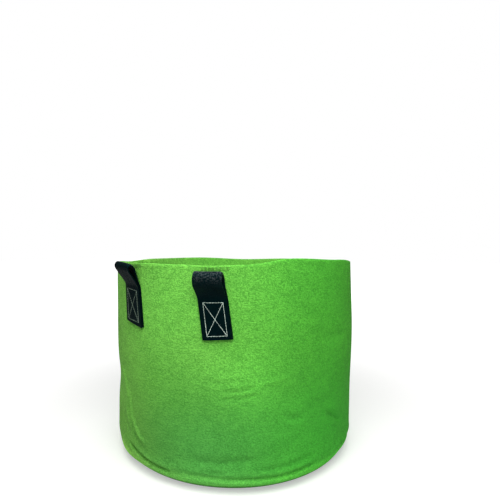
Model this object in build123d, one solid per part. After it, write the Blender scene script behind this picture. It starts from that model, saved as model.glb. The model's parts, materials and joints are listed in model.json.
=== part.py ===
from build123d import *
from math import asin, atan2, cos, degrees, hypot, radians, sin
import os

# A round felt grow bag with four webbing grab loops. Millimetres, +Z up.
# The origin is on the floor, on the axis of the bag. -Y is the front, midway between the two front loops.

# ---- Felt body ----
felt_thickness = 3.0
bag_radius = 203.0  # outside of the wall
bag_height = 300.0  # rim above the floor
corner_radius = 32.0  # outside of the roll where the wall turns under the bag

# ---- Base seam: the wall's edge and the disc's edge stand up inside, face to face ----
base_lip = 6.0  # flat run of the wall on the floor, inboard of the corner roll
base_allowance = 10.0  # how far both edges stand above the felt on the floor
seam_bend = 1.0  # inside radius where the felt turns up into the seam

# ---- Side seam: the two ends of the wall strip turn inside, face to face ----
side_seam_azimuth = 270.0  # from -Y towards +X, so the seam is on the -X side
side_allowance = 12.0  # how far both ends stand in from the wall
side_seam_gap = 0.3  # between the two ends
side_seam_round = 2.0  # outside radius where each end turns in

# ---- Thread ----
thread_width = 0.9
thread_height = 0.5  # how proud of the cloth the thread lies
stitch_length = 3.4
stitch_pitch = 4.4
base_stitch_height = 6.5  # base seam line above the felt on the floor
base_line_clearance = 0.3  # between each base seam line and the round face it runs along
side_stitch_inset = 8.0  # side seam line in from the wall
side_stitch_end = 4.0  # side seam line stops this far below the rim and short of the base seam

# ---- Webbing ----
webbing_width = 38.0
webbing_thickness = 1.6
box_width = 26.0  # boxed X that holds the two stacked ends of a loop
box_height = 44.0
box_foot_margin = 4.5  # webbing below the box
box_head_margin = 3.0  # webbing above the box, up to the bend
box_below_rim = 68.0  # middle of the box
cross_inset = 1.2  # the X starts this far from the corners of its box

# ---- Free part of a loop ----
fold_radius = 9.2  # outside of the fold
fold_reach = 27.5  # bend line to the centre of the fold
loop_lean = 18.0  # degrees that the loop stands out from the wall at rest
root_clearance = 0.3  # between the loop's root and the wall
bend_gap = 1.6  # between the sewn ends and the loop's root, so that the loop can fold down
eye_foot = 7.0  # the two plies lie together up to here

# ---- Rim tacks: short rows of stitches under the rim, over each loop ----
tack_rows = 3
tack_row_pitch = 1.7
tack_rim_margin = 2.5

# Each loop: its name, azimuth from -Y towards +X, slant in degrees of its top to the left as seen from
# outside, and how much higher than the others it is sewn, as a share of the webbing's width.
loops = [
    ("front_left", -19.5, 6.0, 0.18),
    ("front_right", 19.5, 6.5, 0.0),
    ("back_right", 160.5, 7.0, 0.04),
    ("back_left", 199.5, 5.0, -0.03),
]

# ---- Worked out from the sizes above ----
felt_inside = bag_radius - felt_thickness
wall_middle = bag_radius - felt_thickness / 2
seam_outside_bend = felt_thickness + seam_bend
base_seam_radius = bag_radius - corner_radius - base_lip - seam_outside_bend
base_seam_top = felt_thickness + base_allowance
side_seam_face = side_seam_gap / 2 + felt_thickness
webbing_face = bag_radius + 2 * webbing_thickness

made = {}


def turned_strip(outside, radii, thickness):
    """Cross-section, in the XZ plane, of cloth whose outside follows a line with rounded turns."""
    with BuildSketch(Plane.XZ) as section:
        with BuildLine():
            FilletPolyline(*outside, radius=radii)
            offset(amount=thickness, side=Side.RIGHT)
        make_face()
    return section.sketch


def ring(inside_radius, outside_radius, low, high):
    """A plain upright ring about the axis of the bag."""
    section = Pos((inside_radius + outside_radius) / 2, 0, (low + high) / 2) * (
        Plane.XZ * Rectangle(outside_radius - inside_radius, high - low)
    )
    return revolve(section, Axis.Z, 360)


# ---- Wall panel: one strip of felt, closed into a tube by the side seam ----
# The section runs down from the rim, round under the corner, in along the floor and up into the base seam.
wall_outside = [
    (bag_radius, bag_height),
    (bag_radius, 0),
    (base_seam_radius, 0),
    (base_seam_radius, base_seam_top),
]
wall_section = turned_strip(wall_outside, [corner_radius, seam_outside_bend], felt_thickness)

# The turned-in ends of the strip follow the inside of the wall, down to the base seam.
ends_reach = felt_inside - side_allowance
ends_foot = base_seam_radius + felt_thickness / 2
with BuildSketch(Plane.XZ) as ends_side:
    with BuildLine():
        outer_edge = FilletPolyline(
            (wall_middle, bag_height),
            (wall_middle, felt_thickness / 2),
            (ends_foot, felt_thickness / 2),
            radius=corner_radius - felt_thickness / 2,
        )
        inner_edge = FilletPolyline(
            (ends_reach, bag_height),
            (ends_reach, base_seam_top),
            (ends_foot, base_seam_top),
            radius=max(corner_radius - felt_thickness - side_allowance, seam_bend),
        )
        Line(outer_edge @ 0, inner_edge @ 0)
        Line(outer_edge @ 1, inner_edge @ 1)
    make_face()
turned_in_ends = extrude(ends_side.sketch, side_seam_face, both=True)
parting = Pos(0, 0, bag_height / 2) * Box(
    2 * bag_radius, side_seam_gap, 2 * bag_height, align=(Align.MIN, Align.CENTER, Align.CENTER)
)
wall = revolve(wall_section, Axis.Z, 360) + turned_in_ends - parting
outside_edges = wall.edges().filter_by(Axis.Z).sort_by(Axis.X)[-2:]
wall = fillet(outside_edges, side_seam_round)
seam_side = Rot(Z=side_seam_azimuth - 90)
made["wall_panel"] = seam_side * wall

# ---- Base disc: its edge turns up against the wall's edge ----
disc_outside = [(base_seam_radius, base_seam_top), (base_seam_radius, 0), (0, 0)]
disc_section = turned_strip(disc_outside, [seam_outside_bend], felt_thickness)
made["base_disc"] = revolve(disc_section, Axis.Z, 360)

# ---- Side seam thread: one line on each side of the turned-in ends ----
side_line = felt_inside - side_stitch_inset + thread_width / 2
side_line_low = felt_thickness + side_stitch_inset - thread_width / 2
side_line_outside = [
    (side_line, bag_height - side_stitch_end),
    (side_line, side_line_low),
    (base_seam_radius + felt_thickness + side_stitch_end, side_line_low),
]
side_line_turn = max(corner_radius - felt_thickness - side_stitch_inset, seam_bend) + thread_width / 2
side_line_section = turned_strip(side_line_outside, [side_line_turn], thread_width)
needle_line = Pos(0, -side_seam_face, 0) * extrude(side_line_section, thread_height)
made["side_seam_thread"] = seam_side * Compound([needle_line, mirror(needle_line, Plane.XZ)])

# ---- Base seam thread: one line on each side of the upstanding edges ----
base_line_low = felt_thickness + base_stitch_height - thread_width / 2
base_line_high = base_line_low + thread_width
disc_line_face = base_seam_radius - felt_thickness - base_line_clearance
wall_line_face = base_seam_radius + felt_thickness + base_line_clearance
disc_line = ring(disc_line_face - thread_height, disc_line_face, base_line_low, base_line_high)
wall_line = ring(wall_line_face, wall_line_face + thread_height, base_line_low, base_line_high)
made["base_seam_thread"] = seam_side * Compound([disc_line, wall_line - turned_in_ends])

# ---- Webbing loops ----
# A loop is laid out in the flat frame of a patch on the wall: X to the right as seen from outside, Y up the
# strap, Z out of the wall, with the origin at the middle of the box of stitches.
sewn_foot = -box_height / 2 - box_foot_margin
sewn_head = box_height / 2 + box_head_margin
sewn_blank = Pos(0, sewn_foot, 0) * Box(
    webbing_width, sewn_head - sewn_foot, webbing_width, align=(Align.CENTER, Align.MIN, Align.CENTER)
)
plies = [
    ring(bag_radius + ply * webbing_thickness, bag_radius + (ply + 1) * webbing_thickness, 0, bag_height)
    for ply in range(2)
]

# The free part's section: each side is one long arc that leaves the root straight and meets the round fold
# tangentially. Both plies are one round root about the bend line.
ply_middle = webbing_thickness / 2
fold_middle = fold_radius - ply_middle
side_radius = (fold_reach**2 + ply_middle**2 - fold_middle**2) / (2 * (fold_middle - ply_middle))
side_centre = side_radius + ply_middle
side_turn = degrees(atan2(fold_reach, side_centre))
bend_line = Pos(0, sewn_head + bend_gap + webbing_thickness, webbing_thickness + root_clearance)


def loop_outline(grow, foot):
    """Outline of a loop whose faces lie grow outside the middle of the webbing, closed off at foot."""
    foot_turn = degrees(asin(foot / (side_radius - grow)))
    with BuildSketch() as outline:
        with BuildLine():
            right = CenterArc((side_centre, 0), side_radius - grow, 180 - foot_turn, foot_turn - side_turn)
            CenterArc((0, fold_reach), fold_middle + grow, -side_turn, 180 + 2 * side_turn)
            left = CenterArc((-side_centre, 0), side_radius - grow, side_turn, foot_turn - side_turn)
            Line(right @ 0, left @ 1)
        make_face()
    return outline.sketch


loop_section = loop_outline(ply_middle, 0) + Circle(webbing_thickness) - loop_outline(-ply_middle, eye_foot)
section_plane = Plane(origin=(0, 0, 0), x_dir=(0, 0, 1), z_dir=(-1, 0, 0))
loop_side = section_plane * Rot(Z=-loop_lean) * loop_section
free_loop = bend_line * extrude(loop_side, webbing_width / 2, both=True)


# ---- Stitches ----
stitch = extrude(SlotOverall(stitch_length, thread_width), thread_height)


def stitch_row(start, end):
    """Middles of the stitches along a straight row in the flat frame, each with its direction."""
    run_x, run_y = end[0] - start[0], end[1] - start[1]
    count = max(1, round(hypot(run_x, run_y) / stitch_pitch))
    direction = degrees(atan2(run_y, run_x))
    shares = [(number + 0.5) / count for number in range(count)]
    return [(start[0] + share * run_x, start[1] + share * run_y, direction) for share in shares]


def sewn_on(row_places, face_radius, azimuth, height, slant):
    """Stitches on a round face, wrapped about the bag from the flat frame of a slanted patch."""
    stitches = []
    for across, up, direction in row_places:
        around = across * cos(radians(slant)) - up * sin(radians(slant))
        rise = across * sin(radians(slant)) + up * cos(radians(slant))
        outward = Rot(Z=azimuth + degrees(around / face_radius)) * Pos(0, -face_radius, height + rise)
        stitches.append(outward * Rot(X=90) * Rot(Z=direction + slant) * stitch)
    return Compound(stitches)


right, top = box_width / 2, box_height / 2
inset_x = cross_inset * box_width / hypot(box_width, box_height)
inset_y = cross_inset * box_height / hypot(box_width, box_height)
boxed_x = (
    stitch_row((-right, -top), (right, -top))
    + stitch_row((right, -top), (right, top))
    + stitch_row((right, top), (-right, top))
    + stitch_row((-right, top), (-right, -top))
    + stitch_row((inset_x - right, inset_y - top), (right - inset_x, top - inset_y))
    + stitch_row((right - inset_x, inset_y - top), (inset_x - right, top - inset_y))
)
tack_places = []
for row in range(tack_rows):
    row_height = -tack_rim_margin - row * tack_row_pitch
    tack_places += stitch_row((-webbing_width / 2, row_height), (webbing_width / 2, row_height))

for name, azimuth, slant, rise in loops:
    height = bag_height - box_below_rim + rise * webbing_width
    seat = Rot(Z=azimuth) * Pos(0, -bag_radius, height) * Rot(X=90) * Rot(Z=slant)
    made[name + "_sewn_ends"] = Compound([seat * sewn_blank & ply for ply in plies])
    made[name + "_loop"] = seat * free_loop
    made[name + "_box_stitch"] = sewn_on(boxed_x, webbing_face, azimuth, height, slant)
    made[name + "_rim_tack"] = sewn_on(tack_places, bag_radius, azimuth, bag_height, 0)

os.makedirs("parts", exist_ok=True)
for node, shape in made.items():
    export_step(shape, f"parts/{node}.step")
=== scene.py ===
import json
from math import asin, atan2, cos, degrees, hypot, pi, radians, sin, tan
import bpy
import numpy as np
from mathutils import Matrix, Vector


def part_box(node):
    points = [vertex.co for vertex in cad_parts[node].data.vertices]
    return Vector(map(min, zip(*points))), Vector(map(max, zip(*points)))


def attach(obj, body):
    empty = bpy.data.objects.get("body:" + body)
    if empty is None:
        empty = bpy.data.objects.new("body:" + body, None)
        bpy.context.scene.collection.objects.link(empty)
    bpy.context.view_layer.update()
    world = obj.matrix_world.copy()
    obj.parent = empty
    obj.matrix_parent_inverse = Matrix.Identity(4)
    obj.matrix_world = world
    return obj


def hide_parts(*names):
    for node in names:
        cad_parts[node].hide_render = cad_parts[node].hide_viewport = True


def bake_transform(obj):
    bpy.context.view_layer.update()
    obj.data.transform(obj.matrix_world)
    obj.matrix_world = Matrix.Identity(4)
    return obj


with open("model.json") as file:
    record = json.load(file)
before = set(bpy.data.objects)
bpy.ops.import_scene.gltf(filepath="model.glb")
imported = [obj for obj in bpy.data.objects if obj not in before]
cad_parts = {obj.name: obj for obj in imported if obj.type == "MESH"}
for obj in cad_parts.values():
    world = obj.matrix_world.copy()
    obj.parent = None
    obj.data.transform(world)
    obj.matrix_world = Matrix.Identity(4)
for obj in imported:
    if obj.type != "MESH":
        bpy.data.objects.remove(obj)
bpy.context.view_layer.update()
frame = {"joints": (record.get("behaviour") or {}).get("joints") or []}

# ---- Wall panel ----
# One strip of needle-punched polyester felt, cut with raw edges and closed into a tube by a seam on the side.
# Its foot rolls under the bag and stands up inside, where it is sewn to the base. The soil behind it has
# pushed it out unevenly, and where it was folded for storage soft creases are left.
wall_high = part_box("wall_panel")[1]
wall_radius = wall_high.y
wall_height = wall_high.z
felt = 0.003
cut_round = 0.0011  # how far a cut edge of the felt is rounded off
corner = 0.032  # outside of the roll at the foot
seam_bend = 0.004  # outside of the turn into a seam
base_seam_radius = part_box("base_disc")[1].x
seam_top = 0.013
side_seam_azimuth = 270.0
side_seam_gap = 0.0003
side_allowance = 0.012


def ease(value, start, end):
    """0 before start, 1 after end, and a smooth rise between them."""
    share = np.clip((np.asarray(value, float) - start) / (end - start), 0, 1)
    return share * share * (3 - 2 * share)


def bell(distance, width):
    """1 at the middle, falling off softly over the width."""
    return np.exp(-np.square(distance / width))


def turn_between(azimuth, other):
    """Signed difference of two azimuths in degrees, the short way round."""
    return (np.asarray(azimuth, float) - other + 180) % 360 - 180


# Creases in the felt: the line each follows, as azimuth in degrees and height, then its depth and half-width.
# A negative depth is a fold that stands out. Each comes up over a short run from both its ends.
crease_fade = 0.018
creases = [
    ([(20.5, 0.1365), (25.5, 0.1375), (28.0, 0.138), (31.0, 0.1395), (34.5, 0.143), (37.0, 0.144)],
     0.0022, 0.0026),
    ([(25.0, 0.131), (29.0, 0.134), (31.0, 0.136), (33.5, 0.1395), (35.5, 0.1445), (39.0, 0.147),
      (45.0, 0.152), (50.0, 0.1545)], -0.0014, 0.0026),
    ([(18.5, 0.126), (24.0, 0.128), (28.0, 0.1295), (31.5, 0.132), (37.0, 0.1305)], 0.0015, 0.0025),
    ([(12.0, 0.153), (18.5, 0.151), (25.0, 0.1495), (31.0, 0.1515)], 0.0008, 0.0028),
    ([(-34.0, 0.148), (-31.5, 0.132), (-29.5, 0.124), (-28.0, 0.115), (-27.5, 0.102), (-27.5, 0.090)],
     -0.0027, 0.0034),
    ([(-25.0, 0.116), (-24.5, 0.101), (-24.0, 0.086), (-23.0, 0.0765), (-20.5, 0.067), (-18.5, 0.059),
      (-15.0, 0.050), (-12.0, 0.044)], -0.0026, 0.0034),
    ([(-30.0, 0.088), (-28.0, 0.077), (-24.5, 0.060), (-22.0, 0.053)], -0.0014, 0.0036),
    ([(-27.0, 0.092), (-25.5, 0.078), (-23.0, 0.0655), (-20.0, 0.051), (-17.0, 0.0445), (-13.0, 0.039)],
     0.0022, 0.0048),
    ([(-33.0, 0.076), (-31.0, 0.062), (-27.5, 0.054), (-24.0, 0.046)], 0.0012, 0.0054),
    ([(-27.0, 0.0395), (-24.0, 0.0335), (-18.5, 0.0295), (-15.0, 0.0265), (-11.5, 0.024), (-8.5, 0.022),
      (-4.5, 0.021), (2.0, 0.019)], 0.0052, 0.0034),
    ([(20.0, 0.021), (28.0, 0.021), (36.5, 0.021), (44.0, 0.021), (52.0, 0.023), (62.0, 0.026)],
     0.0025, 0.0028),
    ([(2.0, 0.025), (10.0, 0.024), (17.0, 0.023), (24.0, 0.0225)], 0.0012, 0.0034),
    ([(34.0, 0.033), (41.0, 0.0335), (50.0, 0.035), (60.5, 0.039)], 0.002, 0.004),
    ([(8.0, 0.044), (19.0, 0.0425), (25.5, 0.045), (36.5, 0.047)], 0.0018, 0.005),
    ([(14.0, 0.031), (18.5, 0.0295), (24.0, 0.031)], 0.0022, 0.0032),
    ([(45.0, 0.101), (51.5, 0.094), (56.0, 0.0965)], 0.002, 0.0045),
    ([(66.0, 0.090), (72.0, 0.081), (79.5, 0.0635)], 0.0028, 0.0055),
    ([(56.0, 0.205), (70.0, 0.196), (84.0, 0.200)], 0.0012, 0.008),
    ([(112.0, 0.118), (121.0, 0.112), (134.0, 0.116), (142.0, 0.126)], 0.0026, 0.005),
    ([(144.0, 0.101), (152.0, 0.093), (163.0, 0.087), (178.0, 0.092)], 0.0022, 0.005),
    ([(160.0, 0.150), (170.0, 0.141), (182.0, 0.139), (192.0, 0.146)], 0.0018, 0.0044),
    ([(166.0, 0.128), (174.0, 0.124), (186.0, 0.127)], -0.0014, 0.005),
    ([(205.0, 0.172), (216.0, 0.158), (222.0, 0.136), (224.0, 0.108)], 0.0024, 0.007),
    ([(80.0, 0.024), (105.0, 0.021), (132.0, 0.023), (160.0, 0.029), (178.0, 0.033), (204.0, 0.046)],
     0.0032, 0.0042),
    ([(292.0, 0.138), (302.0, 0.133), (313.0, 0.136)], 0.0018, 0.005),
    ([(278.0, 0.028), (288.0, 0.0225), (300.0, 0.022), (310.0, 0.026)], 0.0026, 0.0042),
    ([(228.0, 0.062), (238.0, 0.052), (250.0, 0.048), (262.0, 0.050)], 0.0022, 0.0052),
    ([(236.0, 0.210), (243.0, 0.190), (247.0, 0.160), (246.0, 0.130)], -0.0018, 0.006),
]
# Wider dents and swells: azimuth, height, half-width around, half-height, and how far the felt stands out.
swells = [
    (26.0, 0.148, 0.062, 0.028, 0.0022),
    (51.7, 0.128, 0.026, 0.022, -0.0016),
    (66.0, 0.100, 0.034, 0.020, -0.0016),
    (58.0, 0.068, 0.034, 0.014, -0.001),
    (62.0, 0.118, 0.030, 0.008, 0.001),
    (78.0, 0.160, 0.040, 0.030, 0.0012),
    (99.0, 0.150, 0.040, 0.120, 0.0014),
    (6.0, 0.190, 0.050, 0.060, 0.0012),
    (10.0, 0.092, 0.050, 0.040, -0.0016),
    (31.0, 0.108, 0.040, 0.014, 0.001),
    (28.0, 0.046, 0.110, 0.013, -0.0014),
    (28.0, 0.028, 0.120, 0.006, 0.001),
    (28.0, 0.015, 0.130, 0.0052, 0.0036),
    (112.0, 0.015, 0.110, 0.0052, 0.0016),
    (232.0, 0.015, 0.160, 0.0052, 0.0022),
    (-47.0, 0.180, 0.045, 0.050, -0.0022),
    (-30.0, 0.100, 0.030, 0.045, -0.0008),
    (-30.0, 0.012, 0.045, 0.011, 0.0044),
    (-44.0, 0.120, 0.050, 0.028, -0.003),
    (-31.0, 0.060, 0.022, 0.018, -0.0012),
    (128.0, 0.150, 0.050, 0.040, 0.0032),
    (152.0, 0.060, 0.060, 0.024, 0.0024),
    (172.0, 0.205, 0.055, 0.024, 0.0026),
    (180.0, 0.130, 0.050, 0.045, -0.0034),
    (196.0, 0.075, 0.055, 0.026, 0.0028),
    (214.0, 0.190, 0.045, 0.040, 0.0032),
    (240.0, 0.100, 0.045, 0.036, -0.003),
    (284.0, 0.090, 0.050, 0.040, 0.0028),
    (300.0, 0.220, 0.050, 0.040, -0.0024),
    (310.0, 0.180, 0.045, 0.050, 0.001),
]
# The raw rim waves: azimuth, and how far it is above or below the cut height there.
rim_waves = [
    (-60.0, 0.001), (-35.0, 0.0022), (-9.0, 0.0028), (5.0, 0.0022), (17.0, 0.0008), (30.0, 0.0022),
    (50.0, 0.0100), (75.0, 0.007), (105.0, 0.0008), (140.0, -0.0012), (170.0, 0.001), (198.0, -0.0012),
    (230.0, 0.003), (262.0, 0.0022), (285.0, -0.001), (300.0, 0.001),
]


def crease_reach(azimuth, height):
    """Each crease's depth and half-width, how far places on the wall are from it, and its fade there."""
    for line, depth, width in creases:
        nearest = np.full(azimuth.shape, 1.0)
        for (az_a, z_a), (az_b, z_b) in zip(line, line[1:]):
            x = np.radians(turn_between(azimuth, az_a)) * wall_radius
            run_x, run_z = radians(az_b - az_a) * wall_radius, z_b - z_a
            along = np.clip((x * run_x + (height - z_a) * run_z) / (run_x**2 + run_z**2), 0, 1)
            nearest = np.minimum(nearest, np.hypot(x - along * run_x, height - z_a - along * run_z))
        from_ends = [
            np.hypot(np.radians(turn_between(azimuth, end_az)) * wall_radius, height - end_z)
            for end_az, end_z in (line[0], line[-1])
        ]
        yield depth, width, nearest, ease(np.minimum(*from_ends), 0.0, crease_fade)


def wall_shift(azimuth, height):
    """How far the felt stands out from a true cylinder, and how far it is moved up, place by place."""
    azimuth, height = np.broadcast_arrays(np.asarray(azimuth, float), np.asarray(height, float))
    out = np.zeros(azimuth.shape)
    # Shallow waves all over.
    lobes = np.random.default_rng(11)
    for turns in (2, 3, 3, 4, 5, 6, 7, 9, 11):
        phase, lean, wave = lobes.uniform(0, 2 * pi), lobes.uniform(-9, 9), lobes.uniform(0, 2 * pi)
        swing = 0.0006 if turns < 6 else 0.0004
        around = np.sin(np.radians(azimuth) * turns + phase + lean * height)
        out += swing * around * np.sin(height * lobes.uniform(8, 24) + wave)
    # A crease is a groove with a low swell along both sides.
    for depth, width, nearest, fade in crease_reach(azimuth, height):
        out += fade * depth * (0.45 * bell(nearest, width * 2.2) - 1.2 * bell(nearest, width))
    for az, z, wide, tall, push in swells:
        x = np.radians(turn_between(azimuth, az)) * wall_radius
        out += push * np.exp(-np.square(x / wide) - np.square((height - z) / tall))
    # The rim's waves go from one knot to the next, and fade out further down.
    rim_az, rim_up = zip(*(rim_waves + [(rim_waves[0][0] + 360, rim_waves[0][1])]))
    turned = (azimuth - rim_az[0]) % 360 + rim_az[0]
    knot = np.searchsorted(rim_az, turned, side="right").clip(1, len(rim_az) - 1)
    low_az, high_az = np.take(rim_az, knot - 1), np.take(rim_az, knot)
    share = ease((turned - low_az) / (high_az - low_az), 0, 1)
    up = np.take(rim_up, knot - 1) * (1 - share) + np.take(rim_up, knot) * share
    up = up * np.square(ease(height, 0.12, wall_height))
    out += ease(height, 0.20, wall_height) * 0.0012 * np.sin(np.radians(azimuth) * 5 + 1.3)
    # Webbing sewn to the felt keeps it truer there, and lower down the wall has settled inward.
    calm = 1.0
    for joint in frame["joints"]:
        loop_azimuth = degrees(atan2(joint["axis"][1], joint["axis"][0]))
        x = np.radians(turn_between(azimuth, loop_azimuth)) * wall_radius
        calm = calm * (1 - 0.75 * bell(x, 0.030) * bell(height - 0.235, 0.055))
    settled = 0.0008 + 0.0034 * ease(0.21 - height, 0.0, 0.12)
    return (out * calm - settled) * ease(height, 0.0, 0.016), up


def wall_profile():
    """The wall's outside, row by row from the rim to its inner edge: radius, height and the way inward."""
    rows = []
    # The rows are closer together lower down, where the creases are finer.
    for z in np.interp(np.linspace(0, 1, 80), (0, 0.4, 0.7, 1), (wall_height, 0.160, 0.090, corner))[:-1]:
        rows.append((wall_radius, z, -1.0, 0.0))
    for turn in np.linspace(0, pi / 2, 31)[:-1]:
        r = wall_radius - corner + corner * cos(turn)
        rows.append((r, corner - corner * sin(turn), -cos(turn), sin(turn)))
    for r in np.linspace(wall_radius - corner, base_seam_radius + seam_bend, 4)[:-1]:
        rows.append((r, 0.0, 0.0, 1.0))
    for turn in np.linspace(0, pi / 2, 6)[:-1]:
        r = base_seam_radius + seam_bend * (1 - sin(turn))
        rows.append((r, seam_bend * (1 - cos(turn)), sin(turn), cos(turn)))
    for z in np.linspace(seam_bend, seam_top, 4):
        rows.append((base_seam_radius, z, 1.0, 0.0))
    return np.array(rows)


def felt_section(profile):
    """A closed section round a strip of felt: each point's radius, height, way inward and depth."""
    last = len(profile) - 1
    blunt = 0.2 * cut_round
    # Each point is a row of the profile, a slide along it to round the cut edge, and a depth into the felt.
    section = [(0, cut_round, 0.0)] + [(row, 0.0, 0.0) for row in range(1, last)] + [(last, -cut_round, 0.0)]
    section += [(last, -blunt, 0.2 * felt), (last, -blunt, 0.8 * felt), (last, -cut_round, felt)]
    section += [(row, 0.0, felt) for row in range(last - 1, 0, -1)] + [(0, cut_round, felt)]
    section += [(0, blunt, 0.8 * felt), (0, blunt, 0.2 * felt)]
    rows, slide, depth = (np.array(values) for values in zip(*section))
    radius_at, height_at, in_r, in_z = profile[rows].T
    return radius_at - slide * in_z, height_at + slide * in_r, in_r, in_z, depth


def strip_faces(columns, face_points):
    """Faces of a strip whose section has two faces of so many points, and two more points round each edge."""
    ring = 2 * face_points + 4
    last_ring = (columns - 1) * ring
    faces = []
    for here in range(0, last_ring, ring):
        for row in range(ring):
            beside = (row + 1) % ring
            faces.append((here + row, here + beside, here + ring + beside, here + ring + row))
    back = 2 * face_points + 1
    cap = [(row, row + 1, back - row - 1, back - row) for row in range(face_points - 1)]
    cap.append((face_points - 1, face_points, face_points + 1, face_points + 2))
    cap.append((back, back + 1, back + 2, 0))
    faces += [face[::-1] for face in cap]
    faces += [tuple(last_ring + point for point in face) for face in cap]
    return faces


def mesh_piece(name, points, faces, material, uvs=None):
    """A closed mesh at the origin with its faces outward, shaded smooth."""
    points = np.asarray(points, float).reshape(-1, 3)
    fans = np.array([(face[0], face[n], face[n + 1]) for face in faces for n in range(1, len(face) - 1)])
    a, b, c = points[fans].transpose(1, 0, 2)
    if np.einsum("ij,ij->", a, np.cross(b, c)) < 0:
        faces = [face[::-1] for face in faces]
    mesh = bpy.data.meshes.new(name)
    mesh.from_pydata(points.tolist(), [], faces)
    mesh.shade_smooth()
    mesh.materials.append(material)
    if uvs is not None:
        layer = mesh.uv_layers.new(name="cloth")
        corners = np.zeros(len(mesh.loops), np.int32)
        mesh.loops.foreach_get("vertex_index", corners)
        layer.data.foreach_set("uv", np.asarray(uvs, np.float32)[corners].ravel())
    piece = bpy.data.objects.new(name, mesh)
    bpy.context.scene.collection.objects.link(piece)
    return piece


class Shade:
    """A socket of a material's nodes. Sums and products of such values add the nodes that work them out."""

    def __init__(self, tree, socket=None):
        self.tree, self.socket = tree, socket

    def node(self, kind, settings, values, out=0):
        """One node: its settings first, then the values and links of its sockets."""
        made = self.tree.nodes.new("ShaderNode" + kind)
        for name, value in settings.items():
            setattr(made, name, value)
        self.fill(made, values)
        return Shade(self.tree, made.outputs[out])

    def fill(self, node, values):
        """Constants go straight into a node's sockets, and other values are linked to them."""
        for name, value in values.items():
            if isinstance(value, Shade):
                self.tree.links.new(value.socket, node.inputs[name])
            else:
                node.inputs[name].default_value = value

    def math(self, operation, *values):
        return self.node("Math", {"operation": operation}, dict(enumerate(values)))

    def __add__(self, other):
        return self.math("ADD", self, other)

    def __sub__(self, other):
        return self.math("SUBTRACT", self, other)

    def __rsub__(self, other):
        return self.math("SUBTRACT", other, self)

    def __mul__(self, other):
        return self.math("MULTIPLY", self, other)

    __radd__ = __add__

    def mix(self, low, high):
        """A colour between two colours, by this value."""
        return self.node("Mix", {"data_type": "RGBA"}, {0: self, 6: low, 7: high}, out=2)

    def times(self, other):
        """This colour times another."""
        return self.node("VectorMath", {"operation": "MULTIPLY"}, {0: self, 1: other})

    def smooth(self, low, high):
        """0 below low, 1 above high."""
        return self.node("MapRange", {"interpolation_type": "SMOOTHSTEP"}, {0: self, 1: low, 2: high})

    def bumps(self):
        """The normal of a surface with this relief, in metres."""
        return self.node("Bump", {}, {"Strength": 1.0, "Distance": 1.0, "Height": self})


def colour(red, green, blue):
    """A colour given as it is written for screens, from 0 to 255."""
    written = (red / 255, green / 255, blue / 255)
    return tuple(((v + 0.055) / 1.055) ** 2.4 if v > 0.04 else v / 12.92 for v in written) + (1.0,)


def new_material(name):
    """A material, the Shade that makes its nodes, and its Principled shader."""
    material = bpy.data.materials.new(name)
    material.use_nodes = True
    return material, Shade(material.node_tree), material.node_tree.nodes["Principled BSDF"]


green_felt, nodes, surface = new_material("green_felt")
place = nodes.node("TexCoord", {}, {}, out="Object")


def cloud(scale, detail=2.0, roughness=0.5, stretch=(1, 1, 1), shift=(0, 0, 0), distortion=0.0):
    """Soft noise from 0 to 1, for the material being made, at so many features to the metre."""
    moved = nodes.node("Mapping", {}, {"Vector": place, "Location": shift, "Scale": stretch})
    look = {"Scale": scale, "Detail": detail, "Roughness": roughness, "Distortion": distortion}
    return nodes.node("TexNoise", {}, {"Vector": moved, **look})


blotches = cloud(18, 2, 0.5)
mottle = cloud(70, 3, 0.6, stretch=(1, 1, 1.5), shift=(3, 1, 2))
flecks = cloud(230, 3, 0.6, stretch=(1, 1, 1.7), shift=(2, 7, 4), distortion=0.3)
tufts = cloud(480, 3, 0.7, stretch=(1, 1, 1.6), shift=(1, 5, 2))
fibres = cloud(1500, 2, 0.6, stretch=(1, 1, 0.45), distortion=0.6)
ripples = cloud(30, 2, 0.5, stretch=(1, 1, 2.6), shift=(0, 2, 7), distortion=0.25)
height = nodes.node("SeparateXYZ", {}, {0: place}, out=2)
across = nodes.node("SeparateXYZ", {}, {0: place}, out=0)
ahead = nodes.node("SeparateXYZ", {}, {0: place}, out=1)

# Painted shade: the green is deeper and darker towards +X, and darker still low down there and on the front.
# Painted light: paler towards -X and on the roll at the foot. Painted shade darkens the foot at the ground.
# Painted shade: deeper, darker green towards +X, the side turned away from the key light.
painted_side_shade = (across * 0.996 + ahead * 0.087).smooth(0.02, 0.21)
body = painted_side_shade.mix(colour(107, 189, 72), colour(72, 175, 50))
# Painted shade: less red low down towards +X, so the green there is darker and deeper.
painted_low_shade = (0.21 - height).smooth(0.0, 0.15) * (across * 0.9 - ahead * 0.44).smooth(0.02, 0.13)
body = painted_low_shade.mix(body, body.times((0.72, 0.97, 1.0)))
# Painted shade: darker, greyer green low on the front.
painted_front_shade = (0.15 - height).smooth(0.0, 0.10) * (across * 0.087 - ahead * 0.996).smooth(0.13, 0.20)
body = painted_front_shade.mix(body, body.times((0.78, 0.80, 0.98)))
# Painted light: paler, warmer green towards -X.
painted_side_light = (across * -0.94 - ahead * 0.342).smooth(0.08, 0.18) * 0.7
body = painted_side_light.mix(body, colour(122, 190, 80))
outer_face = nodes.node("Attribute", {"attribute_name": "outer"}, {}, out="Fac")
# Painted light, as from the floor below: the outer face of the roll at the foot is paler.
painted_roll_light = (0.034 - height).smooth(0.0, 0.012) * outer_face
body = painted_roll_light.mix(body, body.times((1.32, 1.18, 1.20)))
# Painted shade: the felt darkens where it meets the ground.
painted_contact_shade = (0.0115 - height).smooth(0.0, 0.005) * 0.7
body = painted_contact_shade.mix(body, colour(40, 70, 38))
# Painted light: the lowest band of the outer face is paler still.
wear_and_painted_light = (0.026 - height).smooth(0.0, 0.008) * outer_face
body = wear_and_painted_light.mix(body, body.times((1.45, 1.34, 1.34)))
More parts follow.
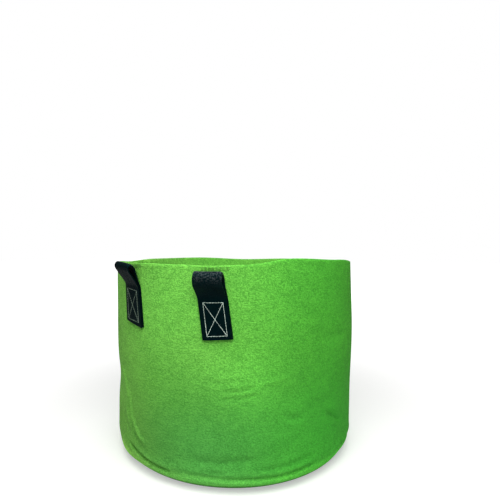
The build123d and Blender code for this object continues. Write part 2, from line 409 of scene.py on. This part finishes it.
# Painted light and shade in soft patches, lighter where the tint is above 1: azimuth, height, how far the
# patch reaches, and its tint.
painted_light_patches = [
    (30.0, 0.152, 0.075, 1.20),
    (-6.0, 0.085, 0.125, 0.87),
    (2.0, 0.245, 0.080, 1.13),
    (-37.0, 0.058, 0.050, 0.86),
]
for azimuth, level, reach, tint in painted_light_patches:
    middle = (wall_radius * sin(radians(azimuth)), -wall_radius * cos(radians(azimuth)), level)
    away = nodes.node("VectorMath", {"operation": "DISTANCE"}, {0: place, 1: middle}, out="Value")
    body = (1.0 - away.smooth(0.0, reach)).mix(body, body.times((tint, tint, tint)))
# Tufts of darker and paler fibre, stronger towards the rim, with a few dark specks of soil.
tone = blotches * 0.06 + mottle * 0.14 + flecks * 0.18 + tufts * 0.62
grain = (tone.smooth(0.39, 0.61) - 0.5) * (height.smooth(0.08, 0.26) * 0.40 + 0.92) + 0.5
body = body.times(grain.mix((0.62, 0.72, 0.66, 1.0), (1.36, 1.25, 1.29, 1.0)))
specks = cloud(900, 2, 0.6, shift=(5, 5, 1)).smooth(0.68, 0.76)
body = specks.mix(body, body.times((0.55, 0.62, 0.55)))
# Painted light on the folds and painted shade in the creases, from the wall's own point values.
folded = nodes.node("Attribute", {"attribute_name": "folded"}, {}, out="Fac")
body = body.times((folded * 0.5 + 0.5).mix((0.76, 0.80, 0.80, 1.0), (1.24, 1.20, 1.20, 1.0)))
relief = ripples * 0.0010 + mottle * 0.0009 + flecks * 0.0010 + tufts * 0.0010 + fibres * 0.0002
nodes.fill(surface, {"Base Color": body, "Roughness": 0.86 + tufts * 0.12, "Normal": relief.bumps()})
nodes.fill(surface, {"Specular IOR Level": 0.15, "Sheen Weight": 0.1})
nodes.fill(surface, {"Sheen Roughness": 0.6, "Sheen Tint": colour(150, 225, 90)})

# The columns of the strip, from one turned-in end round the bag to the other. Near the seam each lies so far
# sideways from its plane and so deep behind the outside, and its felt goes away from the plane and inward.
columns = []
for depth in np.linspace(felt + side_allowance, seam_bend, 5)[:-1]:
    columns.append((0.0, side_seam_gap / 2, depth, 1.0, 0.0))
for turn in np.linspace(0, pi / 2, 7):
    sideways = side_seam_gap / 2 + seam_bend * (1 - cos(turn))
    columns.append((0.0, sideways, seam_bend * (1 - sin(turn)), cos(turn), sin(turn)))
far_end = [(0.0, -sideways, depth, -away, inward) for _, sideways, depth, away, inward in columns[::-1]]
# Between its ends the strip goes round the bag, with its columns closer together where creases are finer.
past_seam = 0.4  # degrees
round_start = degrees((side_seam_gap / 2 + seam_bend) / base_seam_radius) + past_seam
knots = (round_start, 50, 190, 360 - round_start)
round_azimuths = np.interp(np.linspace(0, 1, 350), (0, 0.09, 0.68, 1), knots)
columns += [(azimuth, 0.0, 0.0, 0.0, 1.0) for azimuth in round_azimuths] + far_end

profile = wall_profile()
start_r, start_z, in_r, in_z, into_felt = felt_section(profile)
# The turned-in ends lie flatter under the bag, and flattest at the base seam. The felt isn't moved where it
# lies on the ground or is sewn in the base seam.
under = start_r < wall_radius - corner - 0.001
ends_depth = np.where(start_r < base_seam_radius + seam_bend, 0.05, np.where(under, 0.4, 1.0))
rising = (start_z > 0.0005) * (start_r > base_seam_radius + seam_bend + 0.004)
points = []
for azimuth, sideways, depth, away, inward in columns:
    deep_in = depth + inward * into_felt
    deep_in = np.minimum(deep_in, seam_bend) + np.maximum(deep_in - seam_bend, 0) * ends_depth
    out, up = wall_shift(side_seam_azimuth + azimuth, start_z)
    r = start_r + in_r * (deep_in - out * rising)
    z = start_z + in_z * (deep_in - out * rising) + up * rising
    s, c = sin(radians(side_seam_azimuth + azimuth)), cos(radians(side_seam_azimuth + azimuth))
    side = sideways + away * into_felt
    points.append(np.stack([r * s + side * c, -r * c + side * s, z], axis=1))
wall = mesh_piece("felt_wall", points, strip_faces(len(columns), len(profile)), green_felt)
# Painted light and shade along the creases: paler where a fold stands out, and darker down in a crease.
column_azimuths = side_seam_azimuth + np.array([column[0] for column in columns])
turned, heights = np.broadcast_arrays(column_azimuths[:, None], start_z)
painted_crease_tone = np.zeros(turned.shape)
for depth, width, nearest, fade in crease_reach(turned, heights):
    painted_crease_tone -= fade * np.clip(depth / 0.0035, -1, 1) * bell(nearest, width * 0.75)
outer = (into_felt < 0.5 * felt) + 0 * turned
for name, values in (("folded", np.clip(painted_crease_tone, -1, 1)), ("outer", outer)):
    point_values = wall.data.attributes.new(name, "FLOAT", "POINT")
    point_values.data.foreach_set("value", values.astype(np.float32).ravel())
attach(wall, "bag")
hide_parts("wall_panel")

# ---- Base disc ----
# A round of the same felt. Its edge is turned up inside the bag, face to face with the edge of the wall, and
# it lies flat on the ground under the weight of the soil.
edge_drop = 0.0002  # the cut edge below the top of the seam


def disc_face(depth):
    """One face of the disc, so deep in the felt, from the top of its edge to near the middle."""
    floor_radius, bend = base_seam_radius - seam_bend, seam_bend - depth
    face = [(base_seam_radius - depth, z) for z in np.linspace(seam_top - cut_round, seam_bend, 4)]
    for turn in np.linspace(0, pi / 2, 6)[1:]:
        face.append((floor_radius + bend * cos(turn), seam_bend - bend * sin(turn)))
    return face + [(r, depth) for r in np.linspace(floor_radius, 0, 36)[1:-1]]


disc_edge = [(base_seam_radius - share * felt, seam_top - edge_drop) for share in (0.2, 0.8)]
disc_section = np.array(disc_face(0.0)[::-1] + disc_edge + disc_face(felt))
disc_turns, disc_rows = 200, len(disc_section)
points = []
for angle in np.arange(disc_turns) * 2 * pi / disc_turns:
    r, z = disc_section.T
    ripple = np.sin(r * 62 + 1.1 * sin(angle * 3)) * np.sin(angle * 2 + r * 30)
    settled = 0.0008 * ripple * ease(0.150 - r, 0, 0.03)
    z = z + np.where(z > 0.5 * felt, settled, 0)
    points.append(np.stack([r * sin(angle), -r * cos(angle), z], axis=1))
points = np.concatenate(points + [np.array([(0, 0, 0), (0, 0, felt)])])
faces = []
for turn in range(disc_turns):
    here, there = turn * disc_rows, (turn + 1) % disc_turns * disc_rows
    faces += [(here + row, here + row + 1, there + row + 1, there + row) for row in range(disc_rows - 1)]
    faces.append((len(points) - 2, here, there))
    faces.append((here + disc_rows - 1, len(points) - 1, there + disc_rows - 1))
base = mesh_piece("felt_base", points, faces, green_felt)
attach(base, "bag")
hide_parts("base_disc")

# ---- Webbing loops ----
# Four grab loops of black woven polypropylene webbing. Each is one strap folded in half, with its two cut
# ends laid one on the other and sewn to the wall, so that the fold stands free just under the rim.
strap_width = 0.038
ply = 0.0016
# Heights on a strap are measured from the middle of its box of stitches.
sewn_foot = -0.0265
sewn_head = 0.025
root_height, root_out = 0.0282, 0.0019  # the line that a loop turns on: how high, and how far off the wall
box_wide, box_tall = 0.026, 0.043
fold_along = 0.095  # where the fold is, measured along the strap
warp_ends = 24
weft_pitch = 0.0024
row_spacing = 0.00095
sewn_rows = 40


def strap_line(fold, reach, lean):
    """The middle of a folded strap, from the end at the wall to the one in front, and the way along it."""
    # The loop is an arc up each side and a round crown.
    side_radius = (reach**2 + (ply / 2) ** 2 - fold**2) / (2 * (fold - ply / 2))
    side_centre = side_radius + ply / 2
    opening = atan2(reach, side_centre)
    climb = np.linspace(0, opening, 14)
    side = np.stack([side_centre - side_radius * np.cos(climb), side_radius * np.sin(climb)], axis=1)
    over = np.linspace(-opening, pi + opening, 44)[1:-1]
    crown = np.stack([-fold * np.cos(over), reach + fold * np.sin(over)], axis=1)
    loop = np.concatenate([side * (-1, 1), crown, side[::-1]])
    # Stiff webbing opens nearer its root than two plain arcs would.
    loop[:, 1] += 0.65 * loop[:, 1] * (loop[:, 1] / loop[:, 1].max() - 1)
    tilt_c, tilt_s = cos(radians(lean)), sin(radians(lean))
    up = root_height + loop[:, 1] * tilt_c - loop[:, 0] * tilt_s
    out = root_out + loop[:, 1] * tilt_s + loop[:, 0] * tilt_c
    sewn = np.linspace(sewn_foot, sewn_head - 0.001, sewn_rows)
    line = np.concatenate([
        np.stack([sewn, np.full(sewn_rows, ply / 2)], axis=1),
        np.stack([up, out], axis=1),
        np.stack([sewn[::-1], np.full(sewn_rows, 1.5 * ply)], axis=1),
    ])
    length = np.concatenate([[0], np.cumsum(np.hypot(*np.diff(line, axis=0).T))])
    even = np.linspace(0, length[-1], round(length[-1] / row_spacing))
    line = np.stack([np.interp(even, length, line[:, 0]), np.interp(even, length, line[:, 1])], axis=1)
    # Webbing has no kink where one stretch runs into the next.
    for _ in range(6):
        line[1:-1] = 0.25 * line[:-2] + 0.5 * line[1:-1] + 0.25 * line[2:]
    return line, even


def on_strap(seat, x, up, out):
    """Where points of a strap are, given from the middle of its box: across, up and out of the wall."""
    row_slant = seat["row_slant"] + seat["fan"] * np.clip(up / box_tall, -0.6, 1.2)
    around = x * np.cos(row_slant) - up * sin(seat["side_slant"])
    rise = x * np.sin(row_slant) + up * cos(seat["side_slant"])
    # Where it is sewn the strap is wrapped round the wall and follows the felt. Its free part is flat across.
    held = np.minimum(up, sewn_head)
    held_azimuth = seat["azimuth"] + np.degrees((x - held * sin(seat["side_slant"])) / wall_radius)
    shift, lift = wall_shift(held_azimuth, seat["height"] + held)
    angle = radians(seat["azimuth"]) + around / wall_radius
    r = wall_radius + out + shift
    wrapped = np.stack([r * np.sin(angle), -r * np.cos(angle)], axis=-1)
    s, c = sin(radians(seat["azimuth"])), cos(radians(seat["azimuth"]))
    flat = np.stack([r * s + around * c, -r * c + around * s], axis=-1)
    free = ease(up, 0.020, 0.050)[..., None]
    level = (seat["height"] + rise + lift)[..., None]
    return np.concatenate([wrapped * (1 - free) + flat * free, level], axis=-1)


def from_stitches(x, up):
    """Distance from the nearest line of the boxed cross."""
    right, top = box_wide / 2, box_tall / 2
    edge_x = np.hypot(np.abs(x) - right, np.maximum(np.abs(up) - top, 0))
    edge_y = np.hypot(np.abs(up) - top, np.maximum(np.abs(x) - right, 0))
    cross = np.abs(np.abs(x) * top - np.abs(up) * right) / hypot(right, top)
    inside = (np.abs(x) < right) & (np.abs(up) < top)
    return np.minimum(np.minimum(edge_x, edge_y), np.where(inside, cross, 1.0))


black_webbing, nodes, surface = new_material("black_webbing")
along = nodes.node("UVMap", {"uv_map": "cloth"}, {})
strap_x = nodes.node("SeparateXYZ", {}, {0: along}, out=0)
strap_y = nodes.node("SeparateXYZ", {}, {0: along}, out=1)
place = nodes.node("TexCoord", {}, {}, out="Object")
yarns = nodes.math("ABSOLUTE", nodes.math("SINE", strap_x * (pi * warp_ends / strap_width)))
filling = nodes.math("SINE", strap_y * (2 * pi / weft_pitch))
filaments = nodes.math("SINE", strap_x * (2 * pi * warp_ends * 5 / strap_width) + cloud(300, 1) * 3.0)
dust = cloud(90, 3, 0.6, shift=(4, 2, 9))
lint = cloud(700, 2, 0.7, stretch=(1, 1, 0.5), distortion=1.5).smooth(0.70, 0.78)
speckle = cloud(480, 2, 0.6, shift=(1, 8, 3))
tone = yarns.smooth(0.0, 0.9) * 0.25 + filaments * 0.10 + dust * 0.3 + speckle * 0.6
woven = tone.smooth(0.45, 0.85).mix(colour(0, 3, 4), colour(3, 22, 24))
woven = (lint * 0.15).mix(woven, colour(104, 128, 96))
# The fold is where a hand takes hold. Painted highlight: its crown is paler and speckled grey where it faces
# up into the light. One loop is left without it, and its thread is darker: painted shade on that loop.
# Painted shade on the loop round this place: no painted highlight on its crown, and darker thread.
shaded_loop_azimuth = radians(-19.5)
shaded_loop_place = (wall_radius * sin(shaded_loop_azimuth), -wall_radius * cos(shaded_loop_azimuth), 0.236)
from_shaded_loop = nodes.node("VectorMath", {"operation": "DISTANCE"}, {0: place, 1: shaded_loop_place}, out="Value")
from_fold = nodes.math("ABSOLUTE", strap_y - fold_along)
# Painted highlight on the fold's crown, speckled, and left off the shaded loop.
highlight_speckle = cloud(560, 2, 0.6, shift=(6, 3, 8)).smooth(0.46, 0.62)
painted_crown_highlight = (1.0 - from_fold.smooth(0.002, 0.023)) * highlight_speckle * from_shaded_loop.smooth(0.075, 0.11)
woven = (painted_crown_highlight * 0.8).mix(woven, colour(68, 74, 76))
dull = 0.36 + dust * 0.10 + speckle * 0.16
relief = yarns * 0.00022 + filaments * 0.00003 + filling * 0.00004 + speckle * 0.0003
nodes.fill(surface, {"Base Color": woven, "Roughness": dull, "Normal": relief.bumps()})
nodes.fill(surface, {"Specular IOR Level": 0.08, "Specular Tint": (0.14, 0.80, 0.90, 1.0)})

half = strap_width / 2
selvedge = 0.0004  # from the outermost rib to the edge
face_x = np.linspace(-half + selvedge, half - selvedge, 2 * warp_ends + 1)
rib_height = 0.00016
edge_turn = 0.8  # how much further than its hinge each strap's edges are turned, in degrees
ends_apart = 0.0018  # how far the end behind lies beside the one in front
corner_round, corner_drop = 0.0036, 0.0034  # the fold's worn corners: how wide, and how far they sink
corner_slack = 0.0002  # keeps the rounding short of upright at the edge
seats = {}
# How each was folded and sewn on: the fold's half-thickness, its reach and its lean from the wall, how far
# its rows turn from square, how much more they turn further up, how far its front end is cut off square, how
# far it was sewn beside and above its place, how far its box is off its middle, and how far its free part
# bends sideways.
as_sewn = {
    "front_left": (0.0050, 0.0298, 23.0, -13.0, 1.0, -4.0, 0.0012, 0.0021, 0.0, 0.0),
    "front_right": (0.0084, 0.0269, 18.0, -5.0, -2.0, 0.0, -0.0018, -0.0005, 0.0006, -0.0014),
    "back_right": (0.0078, 0.0278, 16.0, -2.0, 2.0, 1.5, 0.0, 0.0, -0.0005, 0.0014),
    "back_left": (0.0086, 0.0272, 19.0, 1.5, -2.0, -2.0, 0.0, 0.0, 0.0004, -0.0012),
}
for joint in frame["joints"]:
    loop = joint["child"].removesuffix("_loop")
    axis, pivot = Vector(joint["axis"]), Vector(joint["pos_m"])
    azimuth, slant = atan2(axis.y, axis.x), asin(axis.z)
    outward = Vector((sin(azimuth), -cos(azimuth), 0))
    hinge_up = outward.cross(axis)
    middle = pivot - hinge_up * root_height - outward * root_out
    fold, reach, lean, turned_by, fan, cut, beside, above, box_off, bend = as_sewn[loop]
    seats[loop] = {
        "azimuth": degrees(azimuth + beside / wall_radius),
        "height": middle.z + above,
        "row_slant": slant + radians(turned_by),
        "side_slant": slant + radians(edge_turn),
        "fan": radians(fan),
        "box_off": box_off,
    }
    line, even = strap_line(fold, reach, lean)
    # Each row goes over the strap's outer face, round an edge, back over its inner face and round the other
    # edge. The weave is raised where a warp rib floats over the weft.
    run = np.gradient(line, axis=0)
    run /= np.hypot(*run.T)[:, None]
    away = np.stack([run[:, 1], -run[:, 0]], axis=1)
    x = np.concatenate([face_x, [half, half], face_x[::-1], [-half, -half]])
    side = np.concatenate([np.ones(len(face_x)), [0.35, -0.35], -np.ones(len(face_x)), [-0.35, 0.35]])
    warp = np.floor((x + half) / strap_width * warp_ends - 1e-6)
    ridge = np.sin(np.pi * (x + half) / strap_width * warp_ends) ** 2
    xx, ss = np.meshgrid(x, even)
    float_over = 0.5 + 0.5 * np.cos(np.pi * (ss / weft_pitch + warp[None] % 2 + (side[None] < 0)))
    relief = np.where(np.abs(side) == 1, rib_height * ridge[None] * float_over, 0)
    # The stitches draw in the face of the end in front.
    in_front = ease(even, even[-1] - 0.058, even[-1] - 0.050)[:, None] * (side[None] > 0)
    pull = 0.00035 * bell(from_stitches(xx - box_off, line[:, :1] + 0 * xx), 0.0013) * in_front
    off = side[None] * (ply / 2 - rib_height / 2 + relief) - pull
    sway = ends_apart * (1 - ease(even, 0.3 * even[-1], 0.7 * even[-1]))[:, None]
    sway = sway + bend * bell(line[:, :1] - 0.045, 0.013)
    highest = line[:, 0].max()
    to_edge = np.clip((np.abs(xx) - half + corner_round) / (corner_round + corner_slack), 0, 1)
    sunk_corner = corner_drop * (1 - np.sqrt(1 - to_edge**2)) * ease(line[:, :1], highest - 0.011, highest)
    slanted_cut = xx * tan(radians(cut)) * ease(even, even[-1] - 0.02, even[-1])[:, None]
    up = line[:, :1] + away[:, :1] * off + slanted_cut - sunk_corner
    out = line[:, 1:] + away[:, 1:] * off
    points = on_strap(seats[loop], xx + sway, up, out)
    uvs = np.stack([xx + half, ss], axis=-1).reshape(-1, 2)
    faces = strip_faces(len(even), len(face_x))
    strap = mesh_piece(loop + "_strap", points, faces, black_webbing, uvs)
    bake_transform(strap)
    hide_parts(loop + "_sewn_ends", loop + "_loop")

# ---- Stitching ----
# Twisted polyester thread in lockstitch. A boxed cross in pale thread holds each loop, and green thread sews
# three short rows under the rim over each loop and closes the side seam and the base seam inside the bag.
stitch_pitch = 0.0044
box_pitch = 0.0034
thread_lift = 0.0001


def thread_material(name, low, high):
    """Thread of two twisted plies, a little fuzzy, whose colour runs from low to high."""
    material, nodes, surface = new_material(name)
    place = nodes.node("TexCoord", {}, {}, out="Object")
    hair = nodes.node("TexNoise", {}, {"Vector": place, "Scale": 2400.0, "Detail": 2.0})
    wear_and_painted_light = nodes.node("TexNoise", {}, {"Vector": place, "Scale": 60.0, "Detail": 2.0})
    shade = (hair * 0.5 + wear_and_painted_light * 0.5).smooth(0.35, 0.65).mix(low, high)
    # Painted shade: the thread is darker on the one shaded loop.
    from_shaded_loop = nodes.node("VectorMath", {"operation": "DISTANCE"}, {0: place, 1: shaded_loop_place}, out="Value")
    painted_loop_shade = 1.0 - from_shaded_loop.smooth(0.03, 0.06)
    shade = (painted_loop_shade * 0.9).mix(shade, shade.times((0.20, 0.25, 0.20)))
    relief = hair * 0.00012
    nodes.fill(surface, {"Base Color": shade, "Roughness": 0.5 + hair * 0.3, "Normal": relief.bumps()})
    nodes.fill(surface, {"Specular IOR Level": 0.3, "Sheen Weight": 0.1})
    return material


pale_thread = thread_material("pale_thread", colour(190, 212, 198), colour(234, 255, 242))
green_thread = thread_material("green_thread", colour(70, 140, 44), colour(112, 188, 70))

# One stitch: two plies twisted round each other, bowed up between the holes that it goes down into.
rings, sides = 9, 6
thread_radius, ply_bulge = 0.00036, 0.00008
ring_points = []
for share in np.linspace(-1, 1, rings):
    twist = share * 4.4
    rise = 0.00026 * (1 - share**2) - 0.00060 * share**8
    for side in np.arange(sides) * pi / 3:
        fat = thread_radius + ply_bulge * cos(2 * (side - twist))
        fat *= 1 - 0.25 * share**8
        ring_points.append((share * stitch_pitch / 2, fat * cos(side), rise + 0.8 * fat * sin(side)))
stitch_faces = []
last_ring = (rings - 1) * sides
for here in range(0, last_ring, sides):
    for side in range(sides):
        beside = (side + 1) % sides
        stitch_faces.append((here + side, here + beside, here + sides + beside, here + sides + side))
stitch_faces += [tuple(range(sides))[::-1], tuple(range(last_ring, last_ring + sides))]
one_stitch = mesh_piece("one_stitch", ring_points, stitch_faces, pale_thread)

# Geometry nodes lay such stitches along a line on the cloth, each a little askew and uneven in size.
stitching = bpy.data.node_groups.new("stitching", "GeometryNodeTree")
stitching_inputs = {"Seam": "Geometry", "Stitch": "Object", "Pitch": "Float", "Size": "Float"}
stitching_inputs |= {"Unevenness": "Float", "Seed": "Int", "Thread": "Material"}
for name, kind in stitching_inputs.items():
    stitching.interface.new_socket(name, in_out="INPUT", socket_type="NodeSocket" + kind)
stitching.interface.new_socket("Stitches", in_out="OUTPUT", socket_type="NodeSocketGeometry")
given = stitching.nodes.new("NodeGroupInput").outputs


def step(kind, settings, links, out=0):
    """One node of the stitching tree: its settings, and the sockets or values that go into it."""
    made = stitching.nodes.new(kind)
    for name, value in settings.items():
        setattr(made, name, value)
    for name, value in links.items():
        if isinstance(value, bpy.types.NodeSocket):
            stitching.links.new(value, made.inputs[name])
        else:
            made.inputs[name].default_value = value
    return made.outputs[out]


seam_curve = step("GeometryNodeMeshToCurve", {}, {"Mesh": given["Seam"]})
pitched = {"Curve": seam_curve, "Length": given["Pitch"]}
spaced = step("GeometryNodeCurveToPoints", {"mode": "LENGTH"}, pitched)
cloth_face = step("GeometryNodeInputNamedAttribute", {"data_type": "FLOAT_VECTOR"}, {"Name": "face"})
tangent = spaced.node.outputs["Tangent"]
stand = step("FunctionNodeAlignRotationToVector", {"axis": "Z"}, {"Vector": cloth_face})
along_seam = {"axis": "X", "pivot_axis": "Z"}
run_on = step("FunctionNodeAlignRotationToVector", along_seam, {"Rotation": stand, "Vector": tangent})
spread = given["Unevenness"]
least = step("ShaderNodeMath", {"operation": "MULTIPLY"}, {0: spread, 1: -1.0})
askew = {"Min": least, "Max": spread, "Seed": given["Seed"]}
skew = step("FunctionNodeRandomValue", {"data_type": "FLOAT"}, askew, out=1)
skewed = step("ShaderNodeCombineXYZ", {}, {"Z": skew})
skewing = {"Rotation": run_on, "Rotate By": skewed}
swung = step("FunctionNodeRotateRotation", {"rotation_space": "LOCAL"}, skewing)
tension = {"Min": 0.9, "Max": 1.08, "Seed": given["Seed"]}
tight = step("FunctionNodeRandomValue", {"data_type": "FLOAT"}, tension, out=1)
sized = step("ShaderNodeMath", {"operation": "MULTIPLY"}, {0: tight, 1: given["Size"]})
shape = step("GeometryNodeObjectInfo", {}, {"Object": given["Stitch"]}, out="Geometry")
laid = {"Points": spaced, "Instance": shape, "Rotation": swung, "Scale": sized}
placed = step("GeometryNodeInstanceOnPoints", {}, laid)
real = step("GeometryNodeRealizeInstances", {}, {"Geometry": placed})
threaded = step("GeometryNodeSetMaterial", {}, {"Geometry": real, "Material": given["Thread"]})
stitching.links.new(threaded, stitching.nodes.new("NodeGroupOutput").inputs["Stitches"])


def sew(name, lines, pitch, thread, seed, nodes_replaced):
    """Stitches along lines of points, given with the way that the cloth faces at each, as one plain mesh."""
    points, edges, faces = [], [], []
    for line_points, line_faces in lines:
        start = len(points)
        points += [tuple(point) for point in line_points]
        faces += [tuple(face) for face in line_faces]
        edges += [(start + n, start + n + 1) for n in range(len(line_points) - 1)]
    guide_mesh = bpy.data.meshes.new(name)
    guide_mesh.from_pydata(points, edges, [])
    facing = guide_mesh.attributes.new("face", "FLOAT_VECTOR", "POINT")
    facing.data.foreach_set("vector", np.array(faces, np.float32).ravel())
    guide = bpy.data.objects.new(name, guide_mesh)
    bpy.context.scene.collection.objects.link(guide)
    modifier = guide.modifiers.new("stitches", "NODES")
    modifier.node_group = stitching
    wanted = {"Stitch": one_stitch, "Thread": thread, "Pitch": pitch, "Size": pitch / stitch_pitch}
    wanted |= {"Unevenness": 0.07, "Seed": seed}
    for item in stitching.interface.items_tree:
        if item.name in wanted:
            modifier[item.identifier] = wanted[item.name]
    evaluated = guide.evaluated_get(bpy.context.evaluated_depsgraph_get())
    mesh = bpy.data.meshes.new_from_object(evaluated)
    guide.modifiers.remove(modifier)
    mesh.shade_smooth()
    guide.data = mesh
    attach(guide, "bag")
    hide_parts(*nodes_replaced)


def row_between(start, end):
    """A row of stitches in the flat frame of a strap, kept half a stitch short of both ends."""
    run = np.array(end, float) - start
    length = hypot(*run)
    count = max(2, round(length / box_pitch))
    shares = (np.arange(count) + 0.5) / count
    return np.array(start, float) + shares[:, None] * run


def facing_out(azimuths):
    """The way that a true wall would face at azimuths in degrees."""
    return np.stack([np.sin(np.radians(azimuths)), -np.cos(np.radians(azimuths)), 0 * azimuths], axis=1)


box_lines, tack_lines = [], []
right, top = box_wide / 2, box_tall / 2
cross_inset = 0.0012  # the cross starts this far from the corners of its box
crossing = 1 - 2 * cross_inset / hypot(box_wide, box_tall)
tack_rows, tack_points = 3, 9
tack_top, tack_spacing = 0.0026, 0.0017  # the first row below the rim, and the rows apart
for loop, seat in seats.items():
    corners = [(-right, -top), (right, -top), (right, top), (-right, top)]
    rows = [row_between(a, b) for a, b in zip(corners, corners[1:] + corners[:1])]
    for sign in (1, -1):
        cross_end = np.array((right * crossing, top * crossing * sign))
        rows.append(row_between(-cross_end, cross_end))
    for row in rows:
        thread_out = np.full(len(row), 2 * ply - thread_lift)
        points = on_strap(seat, row[:, 0] + seat["box_off"], row[:, 1], thread_out)
        facing = points * (1, 1, 0)
        box_lines.append((points, facing / np.linalg.norm(facing, axis=1)[:, None]))
    for number in range(tack_rows):
        around = np.linspace(-half + stitch_pitch / 2, half - stitch_pitch / 2, tack_points)
        azimuth = seat["azimuth"] + np.degrees(around / wall_radius)
        row_z = np.full(tack_points, wall_height - tack_top - tack_spacing * number)
        out, up = wall_shift(azimuth, row_z)
        facing = facing_out(azimuth)
        points = facing * (wall_radius + out + thread_lift)[:, None]
        points[:, 2] = row_z + up
        tack_lines.append((points, facing))
box_nodes, tack_nodes = ([loop + ending for loop in seats] for ending in ("_box_stitch", "_rim_tack"))
sew("box_stitching", box_lines, box_pitch, pale_thread, 3, box_nodes)
sew("rim_stitching", tack_lines, stitch_pitch, green_thread, 5, tack_nodes)

# The side seam's lines run down both faces of the turned-in ends, and the base seam's round both faces of
# its lip.
side_lines, base_lines = [], []
seam_s, seam_c = sin(radians(side_seam_azimuth)), cos(radians(side_seam_azimuth))
line_inset = 0.008  # the line of stitches in from the inside of the wall
down = np.linspace(wall_height - 0.006, corner + 0.002, 62)
turn_radius = corner - felt - line_inset
turning = np.linspace(0, pi / 2, 10)[1:]
straight_r = np.full(len(down), wall_radius - felt - line_inset)
line_r = np.concatenate([straight_r, wall_radius - corner + turn_radius * np.cos(turning)])
line_z = np.concatenate([down, corner - turn_radius * np.sin(turning)])
for side in (1, -1):
    shift, up = wall_shift(side_seam_azimuth, line_z)
    off_plane = side * (side_seam_gap / 2 + felt + thread_lift)
    r = line_r + shift
    line_x, line_y = r * seam_s + off_plane * seam_c, -r * seam_c + off_plane * seam_s
    points = np.stack([line_x, line_y, line_z + up], axis=1)
    side_lines.append((points, np.tile((side * seam_c, side * seam_s, 0.0), (len(points), 1))))
clear_of_side_seam = 3.4  # degrees
base_line_height = 0.0065  # above the felt on the ground
base_facing = facing_out(side_seam_azimuth + np.linspace(clear_of_side_seam, 360 - clear_of_side_seam, 236))
for away in (1, -1):
    points = base_facing * (base_seam_radius + away * (felt + thread_lift))
    points[:, 2] = felt + base_line_height
    base_lines.append((points, base_facing * away))
sew("side_seam_stitching", side_lines, stitch_pitch, green_thread, 7, ["side_seam_thread"])
sew("base_seam_stitching", base_lines, stitch_pitch, green_thread, 9, ["base_seam_thread"])
bpy.data.objects.remove(one_stitch)

# ---- Studio ----
# A plain pale floor and backdrop, with soft light from above the camera and from behind the bag. The camera
# is a little above the rim.
view_azimuth, view_distance, view_height = radians(26.0), 0.695, 0.3228
view_dip = 0.0035  # how far below level the camera looks, in radians
camera_data = bpy.data.cameras.new("camera")
camera_data.sensor_width = 36.0
camera_data.lens = 27.63
camera_data.shift_x = 0.032
camera = bpy.data.objects.new("camera", camera_data)
camera.location = (view_distance * sin(view_azimuth), -view_distance * cos(view_azimuth), view_height)
camera.rotation_euler = (pi / 2 - view_dip, 0, view_azimuth)
bpy.context.scene.collection.objects.link(camera)
bpy.context.scene.camera = camera
bpy.context.scene.view_settings.view_transform = "Standard"


def lamp(name, azimuth, elevation, distance, size, power, tint):
    """A soft square lamp aimed at the middle of the bag."""
    data = bpy.data.lights.new(name, "AREA")
    data.size, data.energy, data.color = size, power, tint
    made = bpy.data.objects.new(name, data)
    a, e = radians(azimuth), radians(elevation)
    toward = Vector((sin(a) * cos(e), -cos(a) * cos(e), sin(e)))
    made.location = toward * distance + Vector((0, 0, wall_height / 2))
    made.rotation_mode = "QUATERNION"
    made.rotation_quaternion = toward.to_track_quat("Z", "Y")
    bpy.context.scene.collection.objects.link(made)


lamp("key", 26, 55, 0.85, 0.7, 10.2, (1.0, 0.99, 0.97))
lamp("fill", 200, 38, 2.6, 2.2, 22.0, (1.0, 1.0, 1.0))

# The camera sees a full white backdrop, which lights the bag by only a fifth of that.
world = bpy.data.worlds.new("studio")
world.use_nodes = True
bpy.context.scene.world = world
air = Shade(world.node_tree)
seen = air.node("LightPath", {}, {}, out="Is Camera Ray")
background = world.node_tree.nodes["Background"]
air.fill(background, {"Strength": seen * 0.8 + 0.2, "Color": (1.0, 1.0, 1.0, 1.0)})

# The floor glows for the camera alone, more so further off, so that it meets the backdrop without an edge.
far = 9
floor_mesh = bpy.data.meshes.new("floor")
floor_mesh.from_pydata([(-far, -far, 0), (far, -far, 0), (far, far, 0), (-far, far, 0)], [], [(0, 1, 2, 3)])
floor = bpy.data.objects.new("floor", floor_mesh)
bpy.context.scene.collection.objects.link(floor)
pale_floor, nodes, surface = new_material("pale_floor")
seen = nodes.node("LightPath", {}, {}, out="Is Camera Ray")
paint = seen.mix((0.7, 0.7, 0.7, 1.0), (0.62, 0.62, 0.62, 1.0))
place = nodes.node("TexCoord", {}, {}, out="Object")
further = nodes.node("VectorMath", {"operation": "LENGTH"}, {0: place}, out="Value").smooth(0.3, 1.1)
glow = (seen * (further * 0.55 + 0.45)).mix((0.0, 0.0, 0.0, 1.0), (1.0, 1.0, 1.0, 1.0))
nodes.fill(surface, {"Base Color": paint, "Roughness": 0.9, "Specular IOR Level": 0.1})
nodes.fill(surface, {"Emission Color": glow, "Emission Strength": 1.0})
floor_mesh.materials.append(pale_floor)
